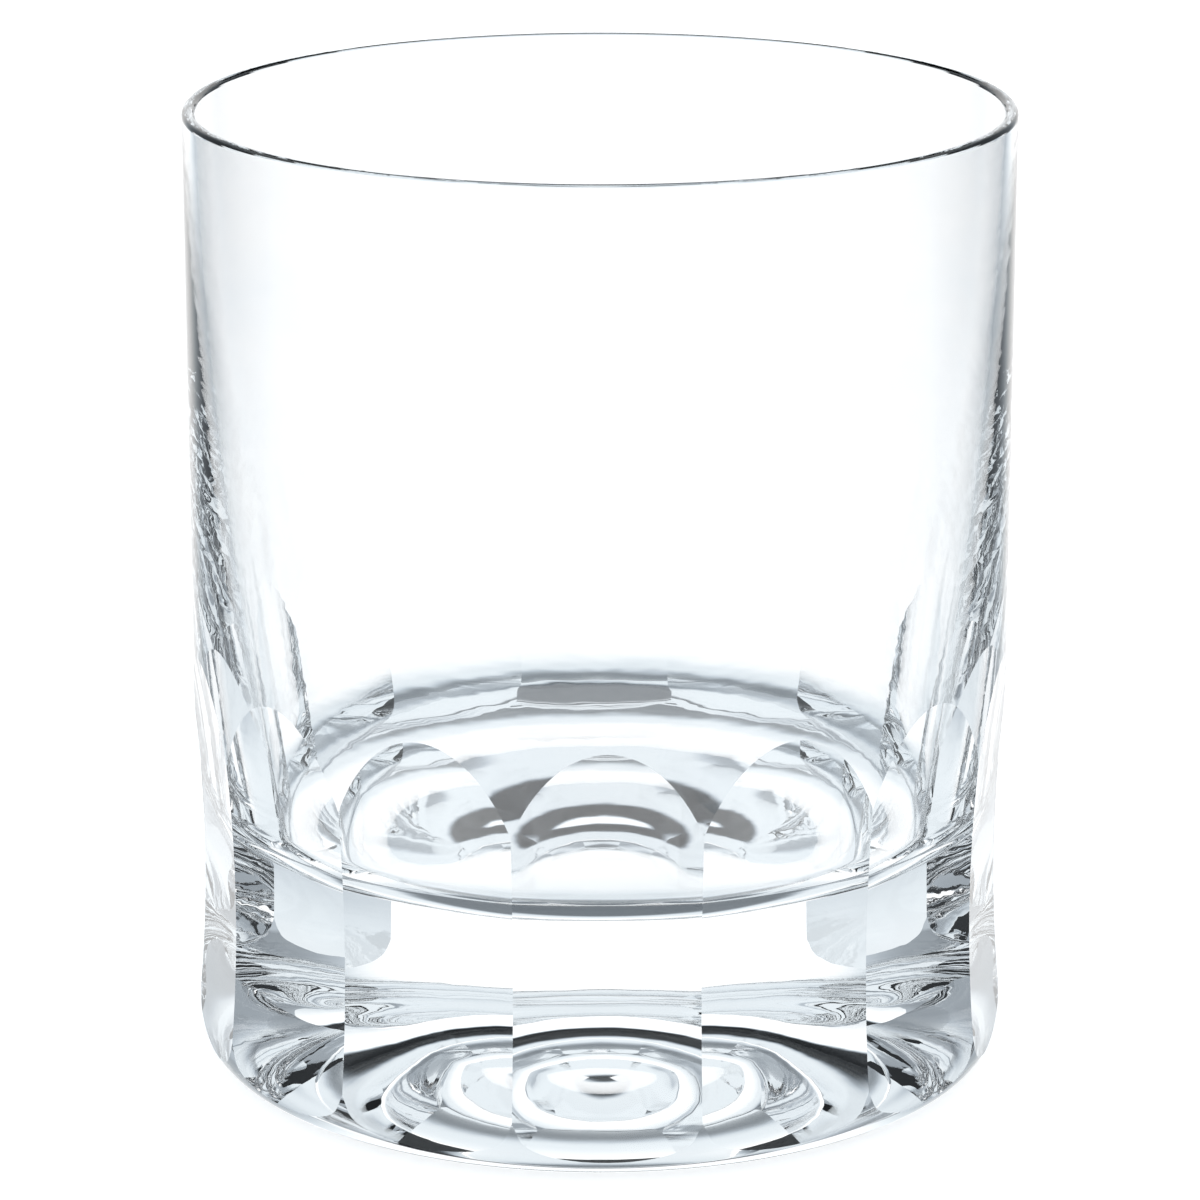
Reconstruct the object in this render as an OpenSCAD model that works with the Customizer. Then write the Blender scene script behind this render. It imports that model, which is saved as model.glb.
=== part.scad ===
// Cut-glass whisky tumbler: a straight round body with a thick solid base,
// a thin fire-polished rim and a ring of tall wheel-cut panels round the base.
// Millimetres, +Z up, origin in the middle of the foot.

/* [Overall] */
// Height from the foot to the top of the rim
height = 97.5; // [80:0.5:140]
// Outside diameter of the round body
body_d = 82; // [64:0.5:110]

/* [Wall] */
// Thickness of the wall at the rim
rim_wall = 1.3; // [0.9:0.1:2.5]
// Lean of the inside wall, in degrees, where it reaches the bowl
wall_lean = 8; // [2:0.5:12]

/* [Bowl] */
// Solid glass between the foot and the floor of the bowl
base_thick = 24.5; // [14:0.5:36]
// Radius of the rounding from the inside wall to the floor
bowl_r = 5; // [3:0.5:20]

/* [Foot] */
// Radius of the rounding from the body to the foot
foot_round = 4.5; // [2:0.5:12]
// Width of the flat ring that the tumbler stands on
foot_ring = 2; // [1:0.5:8]
// Depth of the smooth hollow in the underside, at its middle
hollow_depth = 6; // [2:0.5:9]
// Radius of the ball that shapes the middle of the hollow
hollow_ball_r = 40; // [20:1:60]

/* [Cut panels] */
// Number of panels round the base
panel_count = 14; // [10:2:20]
// Radius of the grinding wheel that cuts a panel
wheel_r = 155; // [110:5:220]
// Depth of a panel at its deepest level
panel_depth = 1.7; // [1.2:0.05:2.4]
// Height of the deepest level above the foot
panel_level = 20.5; // [16:0.5:30]

/* [Hidden] */

body_r = body_d / 2;
rim_r = rim_wall / 2;
foot_r = body_r - foot_round;
// The hollow flares out from its ball and runs level into the ring
hollow_r = foot_r - foot_ring;
hollow_flare_r = (hollow_r * hollow_r + hollow_depth * hollow_depth) / (2 * hollow_depth) - hollow_ball_r;
hollow_turn = atan((hollow_flare_r + hollow_ball_r - hollow_depth) / hollow_r);
// Level where the inside wall meets the rounding of the bowl
bowl_top = base_thick + bowl_r * (1 - sin(wall_lean));
wall_top = height - rim_r;
// The inside wall thickens downwards along a parabola that is upright at the rim
wall_growth = tan(wall_lean) / (2 * (wall_top - bowl_top));
bowl_wall = rim_wall + wall_growth * pow(wall_top - bowl_top, 2);
bowl_centre_r = body_r - bowl_wall - bowl_r * cos(wall_lean);
// Half the widest chord that a panel cuts off the round body, and a little over
panel_half = sqrt(panel_depth * (2 * body_r - panel_depth)) + 1;
arc_steps = 24;
wall_steps = 20;
round_fn = 240;
wheel_fn = 720;

function arc(cx, cz, r, from, to, steps) =
    [for (i = [0:steps]) let (a = from + (to - from) * i / steps) [cx + r * cos(a), cz + r * sin(a)]];

function wall_at(z) = rim_wall + wall_growth * pow(wall_top - z, 2);

hollow_edge = arc(0, hollow_depth - hollow_ball_r, hollow_ball_r, 90, hollow_turn, arc_steps);
flare_edge = arc(hollow_r, hollow_flare_r, hollow_flare_r, 180 + hollow_turn, 270, arc_steps);
foot_edge = arc(foot_r, foot_round, foot_round, -90, 0, arc_steps);
rim_edge = arc(body_r - rim_r, wall_top, rim_r, 0, 180, arc_steps);
inside_wall = [for (i = [1:wall_steps - 1])
    let (z = wall_top - (wall_top - bowl_top) * i / wall_steps) [body_r - wall_at(z), z]];
bowl_edge = arc(bowl_centre_r, base_thick + bowl_r, bowl_r, -wall_lean, -90, arc_steps);
outline = concat(hollow_edge, flare_edge, foot_edge, rim_edge, inside_wall, bowl_edge, [[0, base_thick]]);

module blank() {
    rotate_extrude($fn = round_fn) polygon(outline);
}

// The wheel lies with its axle level and square to the radius that it cuts
module wheel_cut() {
    translate([body_r - panel_depth + wheel_r, 0, panel_level])
        rotate([90, 0, 0])
            cylinder(h = 2 * panel_half, r = wheel_r, center = true, $fn = wheel_fn);
}

module glass_body() {
    color("aliceblue", 0.4)
        difference() {
            blank();
            // One panel faces the front
            for (i = [0:panel_count - 1])
                rotate([0, 0, -90 + i * 360 / panel_count]) wheel_cut();
        }
}

glass_body();
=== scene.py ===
import math

import bpy
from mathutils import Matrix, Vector


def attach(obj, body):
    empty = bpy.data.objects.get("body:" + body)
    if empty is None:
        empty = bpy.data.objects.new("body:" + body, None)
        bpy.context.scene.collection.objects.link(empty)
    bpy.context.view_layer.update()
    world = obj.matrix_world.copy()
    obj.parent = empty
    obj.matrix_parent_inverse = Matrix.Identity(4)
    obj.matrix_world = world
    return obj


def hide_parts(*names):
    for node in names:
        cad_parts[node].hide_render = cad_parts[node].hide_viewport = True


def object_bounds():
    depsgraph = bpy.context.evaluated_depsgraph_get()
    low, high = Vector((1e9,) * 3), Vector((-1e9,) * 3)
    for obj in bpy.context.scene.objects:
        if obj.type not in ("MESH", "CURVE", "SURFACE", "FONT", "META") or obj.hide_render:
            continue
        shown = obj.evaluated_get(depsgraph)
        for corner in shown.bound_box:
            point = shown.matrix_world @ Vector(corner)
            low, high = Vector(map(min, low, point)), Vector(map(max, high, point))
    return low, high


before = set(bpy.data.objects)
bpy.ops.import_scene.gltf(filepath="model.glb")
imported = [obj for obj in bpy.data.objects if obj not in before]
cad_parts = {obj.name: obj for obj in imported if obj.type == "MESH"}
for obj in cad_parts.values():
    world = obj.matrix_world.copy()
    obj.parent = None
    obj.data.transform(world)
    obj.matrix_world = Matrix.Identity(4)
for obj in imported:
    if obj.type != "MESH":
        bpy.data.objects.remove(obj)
cadLow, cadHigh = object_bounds()
mm = 0.001


def deselectAll():
    if bpy.context.object and bpy.context.object.mode != "OBJECT":
        bpy.ops.object.mode_set(mode="OBJECT")
    bpy.ops.object.select_all(action="DESELECT")


def makeActive(piece):
    deselectAll()
    piece.select_set(True)
    bpy.context.view_layer.objects.active = piece


def startOutline(name, firstPoint):
    # one loose vertex to extrude from, out of a plane merged to its middle
    deselectAll()
    bpy.ops.mesh.primitive_plane_add(size=mm, location=(0, 0, 0))
    outline = bpy.context.object
    outline.name = name
    bpy.ops.object.mode_set(mode="EDIT")
    bpy.ops.mesh.select_all(action="SELECT")
    bpy.ops.mesh.merge(type="CENTER")
    bpy.ops.transform.translate(value=(firstPoint[0] * mm, 0, firstPoint[1] * mm))
    return outline


def drawOutline(points):
    # each point is (radius, height), and the last one is joined to the first
    for here, there in zip(points, points[1:]):
        step = ((there[0] - here[0]) * mm, 0, (there[1] - here[1]) * mm)
        bpy.ops.mesh.extrude_region_move(TRANSFORM_OT_translate={"value": step})
    bpy.ops.mesh.select_all(action="SELECT")
    bpy.ops.mesh.edge_face_add()


def arcPoints(centre, radius, fromAngle, toAngle, steps):
    points = []
    for i in range(steps + 1):
        angle = math.radians(fromAngle + (toAngle - fromAngle) * i / steps)
        points.append((centre[0] + radius * math.cos(angle), centre[1] + radius * math.sin(angle)))
    return points


# the glass: sizes in mm, angles in degrees
tumbler = {
    "rimWall": 1.3,
    "wallLean": 8.0,        # of the inside wall where it reaches the bowl
    "baseThick": 24.5,
    "bowlRound": 5.0,
    "footRound": 4.5,
    "footRing": 2.0,
    "domeDepth": 6.0,       # of the smooth hollow in the underside, at its middle
    "domeRadius": 40.0,
    "panelCount": 14,
    "panelDepth": 1.7,
    "panelLevel": 20.5,     # where a panel is deepest
    "panelTop": 60.0,       # no panel reaches higher than this
    "wheelRadius": 155.0,
    "wheelWidth": 30.0,
    "wheelSides": 1440,
    "underSteps": 28,       # how finely each stretch of the outline is divided
    "footSteps": 28,
    "panelSteps": 36,
    "plainSteps": 3,
    "rimSteps": 14,
    "insideSteps": 60,
    "bowlSteps": 40,
    "floorSteps": 8,
    "spinSteps": 26,        # in one panel's width
    "outlineMerge": 1e-6,   # metres
    "panelMerge": 5e-6,
    "smoothBelow": 4.0,
}


def underside(bodyRadius):
    # dome in the middle, then its flare, which runs level into the ring of the foot
    depth, ball, steps = tumbler["domeDepth"], tumbler["domeRadius"], tumbler["underSteps"]
    reach = bodyRadius - tumbler["footRound"] - tumbler["footRing"]
    flare = (reach ** 2 + depth ** 2) / (2 * depth) - ball
    meetAngle = math.degrees(math.atan2(flare + ball - depth, reach))
    dome = arcPoints((0, depth - ball), ball, 90, meetAngle, steps)
    run = arcPoints((reach, flare), flare, 180 + meetAngle, 270, steps)
    return dome + run[1:]


def outsideWall(bodyRadius, wallTop):
    # close points where the wheel cuts, and only a few on the plain wall above
    foot, panelTop = tumbler["footRound"], tumbler["panelTop"]
    points = arcPoints((bodyRadius - foot, foot), foot, -90, 0, tumbler["footSteps"])
    for i in range(1, tumbler["panelSteps"]):
        points.append((bodyRadius, foot + (panelTop - foot) * i / tumbler["panelSteps"]))
    for i in range(tumbler["plainSteps"]):
        points.append((bodyRadius, panelTop + (wallTop - panelTop) * i / tumbler["plainSteps"]))
    return points


def insideWall(bodyRadius, wallTop):
    # the wall thickens as a parabola from the rim down to the bowl's rounded corner
    rimWall, lean, bowl = tumbler["rimWall"], math.radians(tumbler["wallLean"]), tumbler["bowlRound"]
    floor = tumbler["baseThick"]
    bowlTop = floor + bowl * (1 - math.sin(lean))
    growth = math.tan(lean) / (2 * (wallTop - bowlTop))
    points = []
    for i in range(1, tumbler["insideSteps"]):
        z = wallTop - (wallTop - bowlTop) * i / tumbler["insideSteps"]
        points.append((bodyRadius - rimWall - growth * (wallTop - z) ** 2, z))
    bowlWall = rimWall + growth * (wallTop - bowlTop) ** 2
    bowlCentre = bodyRadius - bowlWall - bowl * math.cos(lean)
    points += arcPoints((bowlCentre, floor + bowl), bowl, -tumbler["wallLean"], -90, tumbler["bowlSteps"])
    for i in range(1, tumbler["floorSteps"] + 1):
        points.append((bowlCentre * (1 - i / tumbler["floorSteps"]), floor))
    return points


def tumblerOutline(bodyRadius):
    rim = tumbler["rimWall"] / 2
    wallTop = (cadHigh.z - cadLow.z) / mm - rim
    points = underside(bodyRadius)
    points += outsideWall(bodyRadius, wallTop)
    points += arcPoints((bodyRadius - rim, wallTop), rim, 0, 180, tumbler["rimSteps"])
    points += insideWall(bodyRadius, wallTop)
    return points


def grindingWheel(bodyRadius):
    # axle level and square to the front, where it cuts the front panel
    deselectAll()
    away = bodyRadius - tumbler["panelDepth"] + tumbler["wheelRadius"]
    bpy.ops.mesh.primitive_cylinder_add(vertices=tumbler["wheelSides"],
                                        radius=tumbler["wheelRadius"] * mm,
                                        depth=tumbler["wheelWidth"] * mm,
                                        location=(0, -away * mm, tumbler["panelLevel"] * mm),
                                        rotation=(0, math.pi / 2, 0))
    wheel = bpy.context.object
    wheel.name = "grinding_wheel"
    return wheel


def cutPanel(glass, wheel):
    makeActive(glass)
    cut = glass.modifiers.new("wheel cut", "BOOLEAN")
    cut.operation = "DIFFERENCE"
    cut.solver = "EXACT"
    cut.object = wheel
    bpy.ops.object.modifier_apply(modifier=cut.name)
    bpy.data.objects.remove(wheel)


def openEnds(glass, share):
    # takes off the two flat ends of the wedge, where its neighbours join on
    makeActive(glass)
    bpy.ops.object.mode_set(mode="EDIT")
    bpy.ops.mesh.select_mode(type="FACE")
    bpy.ops.mesh.select_all(action="DESELECT")
    bpy.ops.object.mode_set(mode="OBJECT")
    front = -math.pi / 2
    nearly = 2e-6
    for side in (-1, 1):
        angle = front + side * share / 2
        across = Vector((-math.sin(angle), math.cos(angle), 0))
        for face in glass.data.polygons:
            if abs(face.normal.dot(across)) > 0.99:
                corners = [glass.data.vertices[i].co for i in face.vertices]
                if all(abs(corner.dot(across)) < nearly for corner in corners):
                    face.select = True
    bpy.ops.object.mode_set(mode="EDIT")
    bpy.ops.mesh.delete(type="FACE")


def mergeAndTurnOut(distance):
    bpy.ops.mesh.select_all(action="SELECT")
    bpy.ops.mesh.remove_doubles(threshold=distance)
    bpy.ops.mesh.normals_make_consistent(inside=False)
    bpy.ops.object.mode_set(mode="OBJECT")


def openEdges(piece):
    uses = {}
    for face in piece.data.polygons:
        for key in face.edge_keys:
            uses[key] = uses.get(key, 0) + 1
    return sum(1 for n in uses.values() if n != 2)


def makeTumbler():
    bodyRadius = (cadHigh.x - cadLow.x) / 2 / mm
    count = tumbler["panelCount"]
    share = 2 * math.pi / count
    points = tumblerOutline(bodyRadius)
    glass = startOutline("crystal_tumbler", points[0])
    drawOutline(points)

    # one panel's wedge, half of it on each side of the front
    bpy.ops.mesh.select_all(action="SELECT")
    bpy.ops.transform.rotate(value=math.pi / 2 - share / 2, orient_axis="Z", center_override=(0, 0, 0))
    bpy.ops.mesh.spin(steps=tumbler["spinSteps"], angle=share, center=(0, 0, 0), axis=(0, 0, 1))
    mergeAndTurnOut(tumbler["outlineMerge"])
    print("outline spun:", len(glass.data.polygons), "faces")

    cutPanel(glass, grindingWheel(bodyRadius))
    print("panel cut:", len(glass.data.polygons), "faces")

    openEnds(glass, share)
    bpy.ops.mesh.select_all(action="SELECT")
    bpy.ops.mesh.spin(steps=count - 1, angle=share * (count - 1), dupli=True,
                      center=(0, 0, 0), axis=(0, 0, 1))
    mergeAndTurnOut(tumbler["panelMerge"])
    bpy.ops.object.shade_smooth_by_angle(angle=math.radians(tumbler["smoothBelow"]))
    print("glass:", len(glass.data.polygons), "faces,", openEdges(glass), "open edges")
    return glass


crystal = {
    "ior": 1.52,
    "tint": (0.985, 0.992, 0.997),
    "tintDeep": (0.955, 0.972, 0.985),
    "meltScale": 60.0,
    "meltStretch": (1.0, 1.0, 3.0),
    "hazeScale": 220.0,
    "roughLow": 0.0,
    "roughHigh": 0.02,
    "rippleScale": 240.0,
    "rippleHeight": 0.000006,       # metres
}


def addNoise(nodes, links, place, scale, detail):
    noise = nodes.new("ShaderNodeTexNoise")
    noise.inputs["Scale"].default_value = scale
    noise.inputs["Detail"].default_value = detail
    links.new(place, noise.inputs["Vector"])
    return noise.outputs["Fac"]


def crystalMaterial():
    made = bpy.data.materials.new("cut crystal")
    made.use_nodes = True
    nodes, links = made.node_tree.nodes, made.node_tree.links
    shader = nodes["Principled BSDF"]
    shader.inputs["IOR"].default_value = crystal["ior"]
    shader.inputs["Transmission Weight"].default_value = 1.0
    place = nodes.new("ShaderNodeTexCoord")

    # faint cords in the melt, drawn out round the glass
    stretch = nodes.new("ShaderNodeMapping")
    stretch.inputs["Scale"].default_value = crystal["meltStretch"]
    links.new(place.outputs["Object"], stretch.inputs["Vector"])
    melt = addNoise(nodes, links, stretch.outputs["Vector"], crystal["meltScale"], 3.0)
    tint = nodes.new("ShaderNodeValToRGB")
    tint.color_ramp.elements[0].color = (*crystal["tintDeep"], 1)
    tint.color_ramp.elements[1].color = (*crystal["tint"], 1)
    tint.color_ramp.elements[0].position = 0.2
    tint.color_ramp.elements[1].position = 0.6
    links.new(melt, tint.inputs["Fac"])
    links.new(tint.outputs["Color"], shader.inputs["Base Color"])

    # patches that the polish left a little duller
    haze = addNoise(nodes, links, place.outputs["Object"], crystal["hazeScale"], 4.0)
    rough = nodes.new("ShaderNodeMapRange")
    rough.inputs["From Min"].default_value = 0.45
    rough.inputs["From Max"].default_value = 0.75
    rough.inputs["To Min"].default_value = crystal["roughLow"]
    rough.inputs["To Max"].default_value = crystal["roughHigh"]
    links.new(haze, rough.inputs["Value"])
    links.new(rough.outputs["Result"], shader.inputs["Roughness"])

    # the slight waviness that polishing leaves
    wave = addNoise(nodes, links, stretch.outputs["Vector"], crystal["rippleScale"], 1.0)
    ripple = nodes.new("ShaderNodeBump")
    ripple.inputs["Distance"].default_value = crystal["rippleHeight"]
    links.new(wave, ripple.inputs["Height"])
    links.new(ripple.outputs["Normal"], shader.inputs["Normal"])
    return made


paper = {
    "size": 6.0,
    "below": 0.0002,        # under the foot, so that the two don't share a plane
    "white": 0.93,
    "glow": 0.6,            # so that the paper burns out to white
}


def makeFloor():
    deselectAll()
    bpy.ops.mesh.primitive_plane_add(size=paper["size"], location=(0, 0, cadLow.z - paper["below"]))
    floor = bpy.context.object
    floor.name = "studio_floor"
    made = bpy.data.materials.new("white paper")
    made.use_nodes = True
    nodes, links = made.node_tree.nodes, made.node_tree.links
    sheet = nodes["Principled BSDF"]
    sheet.inputs["Base Color"].default_value = (paper["white"], paper["white"], paper["white"], 1)
    sheet.inputs["Roughness"].default_value = 1.0
    sheet.inputs["Specular IOR Level"].default_value = 0.0
    sheet.inputs["Emission Color"].default_value = (1, 1, 1, 1)
    sheet.inputs["Emission Strength"].default_value = paper["glow"]
    # light that the glass bends passes through to the tent, whose lower half stands for the table
    through = nodes.new("ShaderNodeBsdfTransparent")
    seen = nodes.new("ShaderNodeLightPath")
    mix = nodes.new("ShaderNodeMixShader")
    links.new(seen.outputs["Is Camera Ray"], mix.inputs["Fac"])
    links.new(through.outputs["BSDF"], mix.inputs[1])
    links.new(sheet.outputs["BSDF"], mix.inputs[2])
    links.new(mix.outputs["Shader"], nodes["Material Output"].inputs["Surface"])
    floor.data.materials.append(made)


# the light: each share says how much is left in that part of the tent
tent = {
    "strength": 1.23,
    "gap": 0.0,             # above the backdrop
    "walls": 0.75,          # all round, away from the backdrop
    "backCorners": 0.3,     # left and right, towards the back
    "wings": 0.4,           # left and right, level with the tumbler and nearer
    "nearTable": 0.12,
    "under": 0.2,           # straight below
    "coolTones": [
        (0.08, (0.066, 0.078, 0.09)),
        (0.5, (0.45, 0.50, 0.545)),
        (0.75, (0.70, 0.75, 0.78)),
    ],
}


def softStep(nodes, links, source, start, end, low=0.0, high=1.0):
    step = nodes.new("ShaderNodeMapRange")
    step.interpolation_type = "SMOOTHSTEP"
    step.inputs["From Min"].default_value = start
    step.inputs["From Max"].default_value = end
    step.inputs["To Min"].default_value = low
    step.inputs["To Max"].default_value = high
    links.new(source, step.inputs["Value"])
    return step.outputs["Result"]


def multiply(nodes, links, first, second):
    step = nodes.new("ShaderNodeMath")
    step.operation = "MULTIPLY"
    links.new(first, step.inputs[0])
    links.new(second, step.inputs[1])
    return step.outputs["Value"]


def darken(nodes, links, light, left, *limits):
    # dims the tent where every limit holds; a limit is (source, where it starts, where it is full)
    patch = None
    for source, start, full in limits:
        step = softStep(nodes, links, source, start, full)
        patch = step if patch is None else multiply(nodes, links, patch, step)
    share = softStep(nodes, links, patch, 0.0, 1.0, 1.0, left)
    return share if light is None else multiply(nodes, links, light, share)


def coolRamp(nodes, links, source):
    # full light is white, and what is dimmer is also cooler
    ramp = nodes.new("ShaderNodeValToRGB")
    ramp.color_ramp.elements[0].color = (0.0, 0.0, 0.0, 1)
    ramp.color_ramp.elements[1].color = (1.0, 1.0, 1.0, 1)
    for place, colour in tent["coolTones"]:
        ramp.color_ramp.elements.new(place).color = (*colour, 1)
    links.new(source, ramp.inputs["Fac"])
    return ramp.outputs["Color"]


def makeLight():
    world = bpy.data.worlds.new("soft studio")
    bpy.context.scene.world = world
    world.use_nodes = True
    nodes, links = world.node_tree.nodes, world.node_tree.links
    nodes.clear()
    place = nodes.new("ShaderNodeTexCoord")
    split = nodes.new("ShaderNodeSeparateXYZ")
    links.new(place.outputs["Generated"], split.inputs["Vector"])
    y, z = split.outputs["Y"], split.outputs["Z"]
    aside = nodes.new("ShaderNodeMath")
    aside.operation = "ABSOLUTE"
    links.new(split.outputs["X"], aside.inputs[0])
    sideways = aside.outputs["Value"]

    # y is 1 straight behind the tumbler, z is 1 overhead, sideways is 1 at either side
    belowLamps = (z, 0.65, 0.35)
    aboveTable = (z, -0.5, -0.2)
    light = darken(nodes, links, None, tent["gap"], (z, 0.37, 0.45), (z, 0.74, 0.64), (y, 0.1, 0.3),
                   (sideways, 0.48, 0.3))
    light = darken(nodes, links, light, tent["walls"], (y, 0.95, 0.62))
    light = darken(nodes, links, light, tent["backCorners"], (sideways, 0.25, 0.65), belowLamps,
                   (y, 0.1, 0.3), aboveTable)
    light = darken(nodes, links, light, tent["wings"], (sideways, 0.3, 0.7), belowLamps,
                   (y, 0.3, 0.1), aboveTable)
    light = darken(nodes, links, light, tent["nearTable"], (y, -0.15, -0.5), (z, -0.2, -0.45),
                   (sideways, 0.6, 0.25))
    light = darken(nodes, links, light, tent["under"], (z, -0.72, -0.9))

    lit = nodes.new("ShaderNodeBackground")
    lit.inputs["Strength"].default_value = tent["strength"]
    links.new(coolRamp(nodes, links, light), lit.inputs["Color"])
    white = nodes.new("ShaderNodeBackground")
    white.inputs["Color"].default_value = (1, 1, 1, 1)
    seen = nodes.new("ShaderNodeLightPath")
    mix = nodes.new("ShaderNodeMixShader")
    out = nodes.new("ShaderNodeOutputWorld")
    links.new(seen.outputs["Is Camera Ray"], mix.inputs["Fac"])
    links.new(lit.outputs["Background"], mix.inputs[1])
    links.new(white.outputs["Background"], mix.inputs[2])
    links.new(mix.outputs["Shader"], out.inputs["Surface"])


# metres, degrees and the lens in mm
view = {
    "place": (-0.00883, -0.50592, 0.1915),
    "pitch": 15.966,
    "turn": -1.0,
    "lens": 156.6,
}


def makeCamera():
    lens = bpy.data.cameras.new("camera")
    camera = bpy.data.objects.new("camera", lens)
    bpy.context.scene.collection.objects.link(camera)
    lens.sensor_width = 36
    lens.lens = view["lens"]
    lens.clip_start = 0.01
    camera.location = view["place"]
    camera.rotation_euler = (math.radians(90 - view["pitch"]), 0, math.radians(view["turn"]))
    bpy.context.scene.camera = camera


glass = makeTumbler()
glass.data.materials.clear()
glass.data.materials.append(crystalMaterial())
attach(glass, "root")
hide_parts("glass_body")
print("glass finished")

makeFloor()
makeLight()
makeCamera()
scene = bpy.context.scene
scene.view_settings.view_transform = "Standard"
scene.cycles.max_bounces = 32
scene.cycles.transmission_bounces = 32
scene.cycles.glossy_bounces = 16
print("studio finished")
